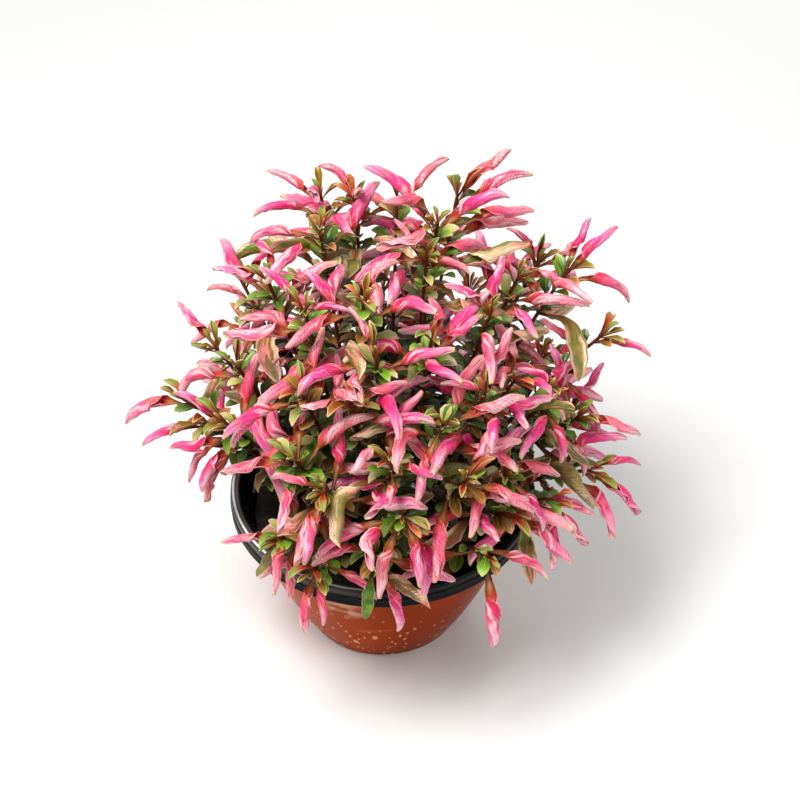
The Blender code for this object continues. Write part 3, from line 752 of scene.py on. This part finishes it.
def leaf_line(length, droop, sweep):
    """A leaf's midrib: out along +Z, then bending down towards -Y and sideways towards +X."""
    t = (np.arange(LEAF_STEPS) + 0.5) / LEAF_STEPS
    bend = np.clip((t - BEND_FROM) / BEND_OVER, 0, 1)
    bend = bend * bend * (3 - 2 * bend)
    down = np.radians(droop) * bend
    side = np.radians(sweep) * bend
    steps = np.stack((np.sin(side), -np.sin(down) * np.cos(side), np.cos(down) * np.cos(side)), 1)
    return np.vstack((np.zeros(3), np.cumsum(steps * length / LEAF_STEPS, 0)))


def leaf_radius(t, length):
    """How thick a rolled leaf is along its midrib."""
    return np.interp(t, LEAF_STATIONS, LEAF_RADII) * length / FULL_LEAF


def clear_of_pot(points, radius, lowest):
    """Whether balls at these points miss the rim, the soil and the side of the pot."""
    out = np.hypot(points[:, 0], points[:, 1])
    z = points[:, 2]
    bore = liner_radius(RIM_TOP) - LINER_WALL
    rim = (out > bore - radius) & (out < RIM_R + radius) & (z < RIM_TOP + radius)
    ground = (out <= bore) & (z < SOIL_TOP + radius)
    return not (rim | ground).any() and z.min() > lowest


def clear_of_way(points):
    """Whether they miss the open way down to the soil."""
    along = np.clip((points - WAY_FOOT) @ WAY_DIRECTION, 0, WAY_LENGTH)
    off = np.linalg.norm(points - WAY_FOOT - along[:, None] * WAY_DIRECTION, axis=1)
    return (off > WAY_R).all()


class Room:
    """The balls that stems and leaves fill, and whose they are."""

    def __init__(self):
        self.middles = np.empty((0, 3))
        self.radii = np.empty(0)
        self.owners = np.empty(0, int)

    def fill(self, points, radii, owner):
        self.middles = np.vstack((self.middles, points))
        self.radii = np.concatenate((self.radii, radii))
        self.owners = np.concatenate((self.owners, np.full(len(points), owner)))

    def is_free(self, points, radii, on_stalk, owner):
        """Whether a leaf fits; its stalk may lie against its own stem."""
        reach = radii.max() + self.radii.max() + LEAF_GAP
        low, high = points.min(0) - reach, points.max(0) + reach
        near = ((self.middles > low) & (self.middles < high)).all(1)
        apart = np.linalg.norm(points[:, None] - self.middles[near][None], axis=2)
        touching = apart < radii[:, None] + self.radii[near][None] + LEAF_GAP
        allowed = on_stalk[:, None] & (self.owners[near] == owner)[None]
        return not (touching & ~allowed).any()


def run_along(line):
    """How far along a stem each of its points is."""
    return np.concatenate(([0], np.cumsum(np.linalg.norm(np.diff(line, axis=0), axis=1))))


def point_below(line, distance):
    """The place and direction on a stem this far below its tip."""
    run = run_along(line)
    at = int(np.clip(np.searchsorted(run, run[-1] - distance), 1, len(line) - 2))
    return line[at], unit(line[at + 1] - line[at - 1])


def frame_along(out):
    """A leaf's side, up and outward directions, from the way it starts out."""
    side = unit(np.cross(UP, out))
    return side, np.cross(out, side), out


def leaf_frame(axis, angle, pitch):
    """The frame of a leaf at this angle round its stem's direction, this far off it."""
    cos, sin = cos_sin(pitch)
    return frame_along(axis * cos + turn(unit(np.cross(axis, UP)), axis, angle) * sin)


def set_frame(compass, rise):
    """The frame of a leaf that starts out in this compass direction, rising this much."""
    (east, north), (level, up) = cos_sin(compass), cos_sin(rise)
    return frame_along(np.array((east * level, north * level, up)))


def try_leaf(room, owner, lowest, foot, frame, length, droop, sweep):
    """The leaf, if it touches nothing there, or None."""
    t = np.linspace(0, 1, LEAF_STEPS + 1)
    free = t > LEAVING
    radii = leaf_radius(t, length)
    line = foot + leaf_line(length, droop, sweep) @ np.array(frame)
    if not clear_of_pot(line[free], radii.max(), lowest) or not clear_of_way(line[free]):
        return None
    if not room.is_free(line[free], radii[free], t[free] < AGAINST_STEM, owner):
        return None
    room.fill(line[1:], radii[1:], owner)
    return {"frame": frame, "foot": foot, "length": length, "droop": droop, "sweep": sweep}


def place_leaf(room, owner, lowest, foot, axis, angle, pitch, length, droop, sweep):
    """The first way near the wanted one in which the leaf touches nothing, or None."""
    others = [bend for bend in DROOPS if bend != droop]
    for pitch_change in (0, -14, 14, -26):
        bends = [droop] + (others if pitch_change else [])
        for angle_change in (0, 16, -16, 32, -32, 48, -48):
            frame = leaf_frame(axis, angle + angle_change, pitch + pitch_change)
            for bend in bends:
                leaf = try_leaf(room, owner, lowest, foot, frame, length, bend, sweep)
                if leaf:
                    return leaf
    return None


def grow():
    """Every shoot: its stem's points and its leaves, those listed first, then the upper pairs."""
    choice = random.Random(SEED)
    room = Room()
    shoots = []
    for tips, pairs, lowest in GROUPS:
        for azimuth, lean, reach in tips:
            line = stem_line(azimuth, lean, reach * MM)
            owner = len(shoots)
            room.fill(line[::2], np.full(STEM_POINTS // 2 + 1, STEM_R), owner)
            room.fill(line[-1:], np.array([TIP_R]), owner)
            shoots.append({"line": line, "pairs": pairs, "lowest": lowest, "leaves": [],
                           "turn": choice.uniform(0, 180), "by_hand": 0})
    for number, below, compass, rise, length, droop in PLACED:
        shoot = shoots[number - 1]
        foot = point_below(shoot["line"], below * MM)[0]
        leaf = try_leaf(room, number - 1, 0, foot, set_frame(compass, rise), length * MM, droop, 0)
        shoot["leaves"].append(dict(leaf, below=below * MM, old=STAYED_GREEN.get((number, below)), pair=1))
        shoot["by_hand"] += 1
    for rank, (below, full, pitch) in enumerate(PAIRS):
        for owner, shoot in enumerate(shoots):
            line = shoot["line"]
            too_short = run_along(line)[-1] - below < SHORTEST_STALK
            if rank >= shoot["pairs"] or too_short or owner + 1 in BARE:
                continue
            foot, axis = point_below(line, below)
            for side in (0, 1):
                if 2 * rank + side < shoot["by_hand"]:
                    continue
                angle = shoot["turn"] + 90 * rank + 180 * side + choice.uniform(-12, 12)
                length = full * choice.uniform(0.86, 1.14)
                leaf = place_leaf(room, owner, shoot["lowest"], foot, axis, angle, pitch, length,
                                  choice.choice(DROOPS[:3]), choice.choice(SWEEPS))
                if leaf:
                    shoot["leaves"].append(dict(leaf, below=below, old=None, pair=rank))
    number, place = FADED
    shoots[number - 1]["leaves"][place]["faded"] = True
    return shoots


# Leaves


LEAF_ROWS = (0, 0.1, 0.2, 0.29) + tuple(np.linspace(0.35, 1, 18))
LEAF_ACROSS = 14
STALK_END = 0.38  # share of the leaf that is stalk
OLD_SHARE = 0.4  # of the lower leaves, how many have stayed green
FADED_MARKS = (0.84, 0.5)  # the faded leaf's tone and how green it is
SMALL_SHARE = 0.6  # of the places for small leaves, how many hold one
BESIDE = (-62, -34, 38, 66)  # how far round the stem from a large leaf its small ones grow
# Pairs of young leaves round a tip: millimetres below it, length, pitch, and how far round
TIP_PAIRS = ((0.3, 8, 12, 45), (1.2, 12, 22, 90), (3.0, 16, 34, 0))
LOWER_FROM, LOWER_TO = 20 * MM, 10 * MM  # small green pairs run from below the tip to above the root
SUNLIT = 12 * MM  # painted shade darkens small green leaves from this far below a tip
DEEP = 38 * MM  # and grow larger from this far below it
INNER = 22 * MM  # each in full this much further
DEEP_GROWTH = 0.4
LEAF_THICK = 0.26 * MM
SPIRAL = 0.13  # how fast the roll widens from its inner margin to its outer one
WOBBLE = 0.5 * MM  # how far a blade wanders from its midrib
HOOK = 40 * MM  # how fast its tip bends under

# How a blade rolls: its half width along LOOK_STATIONS, the roll's radius there, and its twist
LOOK_STATIONS = (0, 0.12, 0.25, 0.33, 0.40, 0.47, 0.58, 0.74, 0.87, 0.95, 1.0)
ROLLED = {
    "widths": (0.7, 0.9, 1.3, 2.4, 4.6, 7.4, 9.6, 8.6, 6.2, 4.2, 1.6),
    "radii": (2.8, 2.8, 2.9, 3.0, 2.9, 2.7, 2.5, 2.2, 1.8, 1.3, 0.8), "twist": 120, "seam": 1}
SPOON = {
    "widths": (0.7, 0.9, 1.3, 2.4, 4.4, 6.8, 9.0, 8.2, 5.8, 3.8, 1.2),
    "radii": (2.8, 2.8, 2.9, 3.1, 3.2, 3.0, 2.7, 2.4, 2.2, 2.3, 2.6), "twist": 60, "seam": 1}
FLAT = {
    "widths": (0.8, 1.0, 1.5, 2.4, 3.6, 4.6, 5.3, 5.0, 3.7, 2.1, 0.5),
    "radii": (3.0, 3.2, 3.6, 4.2, 5.0, 5.6, 6.0, 6.0, 5.0, 4.0, 3.0), "twist": 30, "seam": 0}
LOOKS = (ROLLED, SPOON, FLAT, ROLLED, SPOON)  # the last two are rolled the other way
FLAT_LOOK = LOOKS.index(FLAT)
# How common each look is
FRESH_LOOKS = (4, 2, 0, 4, 1)
OLD_LOOKS = (1, 2, 3, 1, 2)


def rows_along(line, shares):
    """The middle of each row of a leaf, and its side and upper directions, carried along its midrib."""
    t = np.linspace(0, 1, len(line))
    middles = np.stack([np.interp(shares, t, line[:, k]) for k in range(3)], 1)
    outs = [unit(b - a) for a, b in zip(middles, middles[1:])]
    outs = [outs[0]] + [unit(a + b) for a, b in zip(outs, outs[1:])] + [outs[-1]]
    side = np.array((1.0, 0, 0))
    rows = []
    for middle, out in zip(middles, outs):
        side = unit(side - out * (side @ out))
        rows.append((middle, side, np.cross(out, side)))
    return rows


def leaf_grid(across, shares):
    """A flat grid with a row at each share of a leaf's length, and each of its points with its row."""
    deselect()
    last = len(shares) - 1
    bpy.ops.mesh.primitive_grid_add(x_subdivisions=across, y_subdivisions=last, size=2)
    leaf = bpy.context.object
    for corner in leaf.data.uv_layers.active.data:
        corner.uv.y = shares[round(corner.uv.y * last)]
    return leaf, [(point, round((point.co.y + 1) / 2 * last)) for point in leaf.data.vertices]


def thicken(leaf, name, thickness):
    """The mesh of a leaf with its thickness; its object is done with."""
    apply(leaf, "SOLIDIFY", thickness=thickness, offset=0)
    mesh = settle(leaf, name, smooth_below=60).data
    bpy.data.objects.remove(leaf, do_unlink=True)
    return mesh


def big_leaf(droop, sweep, look, hand, phase):
    """A leaf of full length along +Z: a narrow channelled stalk and a blade rolled up like a scroll."""
    leaf, points = leaf_grid(LEAF_ACROSS, LEAF_ROWS)
    rows = rows_along(leaf_line(FULL_LEAF, droop, sweep), LEAF_ROWS)
    aside = look["seam"] * (25 + 8 * phase % 50)  # how far round the roll's seam sits
    for point, row in points:
        share = LEAF_ROWS[row]
        width, radius = (np.interp(share, LOOK_STATIONS, look[k]) * MM for k in ("widths", "radii"))
        radius *= 1 + 0.07 * math.sin(21 * share + phase) + 0.04 * math.sin(45 * share + 3 * phase)
        angle = hand * point.co.x * width / radius * (1 + 0.06 * math.sin(34 * share + 2 * phase))
        reach = radius * (1 + SPIRAL * hand * angle)
        lift = radius * np.interp(share, (0.3, 0.46), (1, 0))
        x, y = reach * math.sin(angle), lift - reach * math.cos(angle)
        twist = look["twist"] * max(share - STALK_END, 0) + aside * np.interp(share, (0.3, 0.5), (0, 1))
        cos, sin = cos_sin(hand * twist)
        middle, side, above = rows[row]
        x, y = x * cos - y * sin, x * sin + y * cos
        on_blade = np.interp(share, (STALK_END, 0.6), (0, 1)) * WOBBLE
        hook = HOOK * max(share - 0.78, 0) ** 2
        x += on_blade * math.sin(13 * share + phase)
        y += on_blade * math.sin(11 * share + 2 * phase) - hook
        point.co = middle + side * x + above * y
    return thicken(leaf, "big_leaf", LEAF_THICK)


SMALL_ACROSS = 4
# Small leaves are modelled 1 long: their thickness, and their half width at each station
SMALL_THICK = 0.02
SMALL_STATIONS = (0, 0.22, 0.45, 0.68, 0.88, 1.0)
SLIM = (0.035, 0.04, 0.10, 0.20, 0.15, 0.02)
OVAL = (0.04, 0.07, 0.21, 0.29, 0.19, 0.02)
SCALE = (0.12, 0.20, 0.27, 0.24, 0.12, 0.01)
# Each kind's material, outline, and the cup, droop and sweep of its shapes
SMALL_LEAVES = {
    "young": (1, SLIM, ((60, 15, 0), (50, 50, 25), (70, -10, -20))),
    "green": (2, OVAL, ((30, 35, 0), (45, 65, 30), (20, 15, -25))),
    "bract": (3, SCALE, ((40, 30, 0), (30, 50, 20), (40, 10, -20)))}


def small_leaf(outline, cup, droop, sweep):
    """A small leaf of unit length along +Z, cupped along its rib, drooping and turned aside."""
    leaf, points = leaf_grid(SMALL_ACROSS, SMALL_STATIONS)
    for point, row in points:
        t, half, u = SMALL_STATIONS[row], outline[row], point.co.x
        bend, aside = math.radians(droop) * t, math.radians(sweep) * t
        lift = abs(u) ** 1.4 * half * math.sin(math.radians(cup))
        x = u * half * math.cos(math.radians(cup) * abs(u)) + t * math.sin(aside / 2)
        y = -t * math.sin(bend / 2) + lift * math.cos(bend)
        point.co = (x, y, t * math.cos(bend / 2) * math.cos(aside / 2) + lift * math.sin(bend))
    return thicken(leaf, "small_leaf", SMALL_THICK)


def leaf_shapes(finishes):
    """Every leaf shape, modelled once; each holds all four materials so that copies can be joined."""
    shapes = {}
    for look_number, look in enumerate(LOOKS):
        for droop in DROOPS:
            for sweep in SWEEPS:
                hand = 1 if (look_number + DROOPS.index(droop) + SWEEPS.index(sweep)) % 2 else -1
                phase = 2.4 * len(shapes)
                shapes[look_number, droop, sweep] = big_leaf(droop, sweep, look, hand, phase), 0
    for kind, (slot, outline, bends) in SMALL_LEAVES.items():
        for number, bend in enumerate(bends):
            shapes[kind, number] = small_leaf(outline, *bend), slot
    for shape, slot in shapes.values():
        shape.materials.clear()
        for finish in finishes:
            shape.materials.append(finish)
        shape.polygons.foreach_set("material_index", [slot] * len(shape.polygons))
        for mark in ("tone", "green"):
            shape.attributes.new(mark, "FLOAT", "POINT")
    return {key: shape for key, (shape, slot) in shapes.items()}


def stand_at(foot, frame, scale):
    """The matrix that puts a shape at its foot, along its frame's side, above and outward axes."""
    place = Matrix.Identity(4)
    for row in range(3):
        place[row] = (*(axis[row] * scale for axis in frame), foot[row])
    return place


def angle_round(axis, out):
    """How far round a stem's direction a leaf points, as leaf_frame counts it."""
    level = unit(np.cross(axis, UP))
    return math.degrees(math.atan2(np.cross(axis, level) @ out, level @ out))


def depth_share(depth):
    """How much this depth counts, from 0 to 1."""
    return min(max(depth / INNER, 0), 1)


def leaves_of(shoot, choice):
    """Each leaf of a shoot: its shape, where it stands, its tone, and how green it is; for a small leaf, how
    deep its painted shade is instead.
    """
    line, start = shoot["line"], shoot["turn"]

    def small(kind, below, angle, pitch, length):
        foot, axis = point_below(line, below)
        here = leaf_frame(axis, angle + choice.uniform(-14, 14), pitch + choice.uniform(-8, 8))
        shape = kind, choice.randrange(len(SMALL_LEAVES[kind][2]))
        # the last value is how deep the small leaf sits in painted shade
        return shape, stand_at(foot, here, length * MM), choice.random(), depth_share(below - SUNLIT)

    for leaf in shoot["leaves"]:
        below, pair = leaf["below"], leaf["pair"]
        angle = angle_round(point_below(line, below)[1], leaf["frame"][2])
        old = leaf["old"] or pair >= 2 and choice.random() < OLD_SHARE
        look = choice.choices(range(len(LOOKS)), OLD_LOOKS if old else FRESH_LOOKS)[0]
        size = leaf["length"] / FULL_LEAF
        tone = leaf["old"] or choice.random()
        green = choice.uniform(0.75, 1) if old else 0
        if leaf["old"] or leaf.get("faded"):
            look = FLAT_LOOK
        if leaf.get("faded"):
            tone, green = FADED_MARKS
        place = stand_at(leaf["foot"], leaf["frame"], size)
        yield (look, leaf["droop"], leaf["sweep"]), place, tone, green
        kind = "young" if pair == 0 else "green"
        for aside in BESIDE:
            if choice.random() < SMALL_SHARE:
                higher = choice.uniform(0, 3) * MM
                yield small(kind, below - higher, angle + aside, 45, choice.uniform(6, 14))
        if choice.random() < SMALL_SHARE:
            yield small("bract", below, angle, 30, choice.uniform(3, 5.5))
    for below, length, pitch, round_by in TIP_PAIRS:
        for side in (0, 180):
            if choice.random() < SMALL_SHARE:
                angle = start + round_by + side
                yield small("young", below * MM, angle, pitch, length * choice.uniform(0.8, 1.2))
    below, step = LOWER_FROM, 0
    lowest = run_along(line)[-1] - LOWER_TO
    while below < lowest:
        grown = 1 + DEEP_GROWTH * depth_share(below - DEEP)
        for side in (0, 180):
            yield small("green", below, start + 90 * step + side, 55, choice.uniform(8, 15) * grown)
        below += choice.uniform(7, 11) * MM
        step += 1


def leaf_piece(name, shoot, shapes, finishes, choice):
    """All the leaves of a shoot, copied from their shapes and joined."""
    form = bmesh.new()
    for key, place, tone, green in leaves_of(shoot, choice):
        copy = shapes[key].copy()
        copy.transform(place)
        # on small leaves the green mark holds their depth of painted shade
        for mark, value in (("tone", tone), ("green", green)):
            copy.attributes[mark].data.foreach_set("value", [value] * len(copy.vertices))
        form.from_mesh(copy)
        bpy.data.meshes.remove(copy)
    mesh = bpy.data.meshes.new(name)
    form.to_mesh(mesh)
    form.free()
    for finish in finishes:
        mesh.materials.append(finish)
    return added(name, mesh)


STEM_TAPER = 0.55 * MM
JOINT_SWELL, JOINT_LONG = 0.3 * MM, 1.6 * MM


def stem_piece(name, shoot, finish):
    """A stem: a bevelled curve, thinner towards its tip and swollen where leaves join it."""
    line = shoot["line"][::2]
    curve = bpy.data.curves.new(name, "CURVE")
    curve.dimensions = "3D"
    curve.bevel_depth = 1.0
    curve.bevel_resolution = 2
    curve.use_fill_caps = True
    spline = curve.splines.new("POLY")
    spline.points.add(len(line) - 1)
    run = run_along(line)
    joints = [run[-1] - below for below, _, _ in PAIRS[:shoot["pairs"]]]
    for point, place, far in zip(spline.points, line, run):
        swell = max(math.exp(-((far - joint) / JOINT_LONG) ** 2) for joint in joints)
        point.co = (*place, 1)
        point.radius = STEM_R - STEM_TAPER * far / run[-1] + JOINT_SWELL * swell
    pick(added(name, curve))
    bpy.ops.object.convert(target="MESH")
    return settle(bpy.context.object, name, finish, 60)


def plant():
    finishes = (pink_leaf(), young_leaf(), green_leaf(), bract())
    bark = stem_skin()
    shapes = leaf_shapes(finishes)
    choice = random.Random(SEED + 1)
    for number, shoot in enumerate(grow(), 1):
        node = f"shoot_{number:02d}"
        stands_for(leaf_piece(f"{node}_leaves", shoot, shapes, finishes, choice), node)
        stem = stem_piece(f"{node}_stem", shoot, bark)
        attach(stem, BODY)


def floor():
    deselect()
    bpy.ops.mesh.primitive_plane_add(size=8)
    ground = settle(bpy.context.object, "floor", pale_floor())


camera_and_light()
outer_pot()
liner_pot()
soil()
plant()
floor()
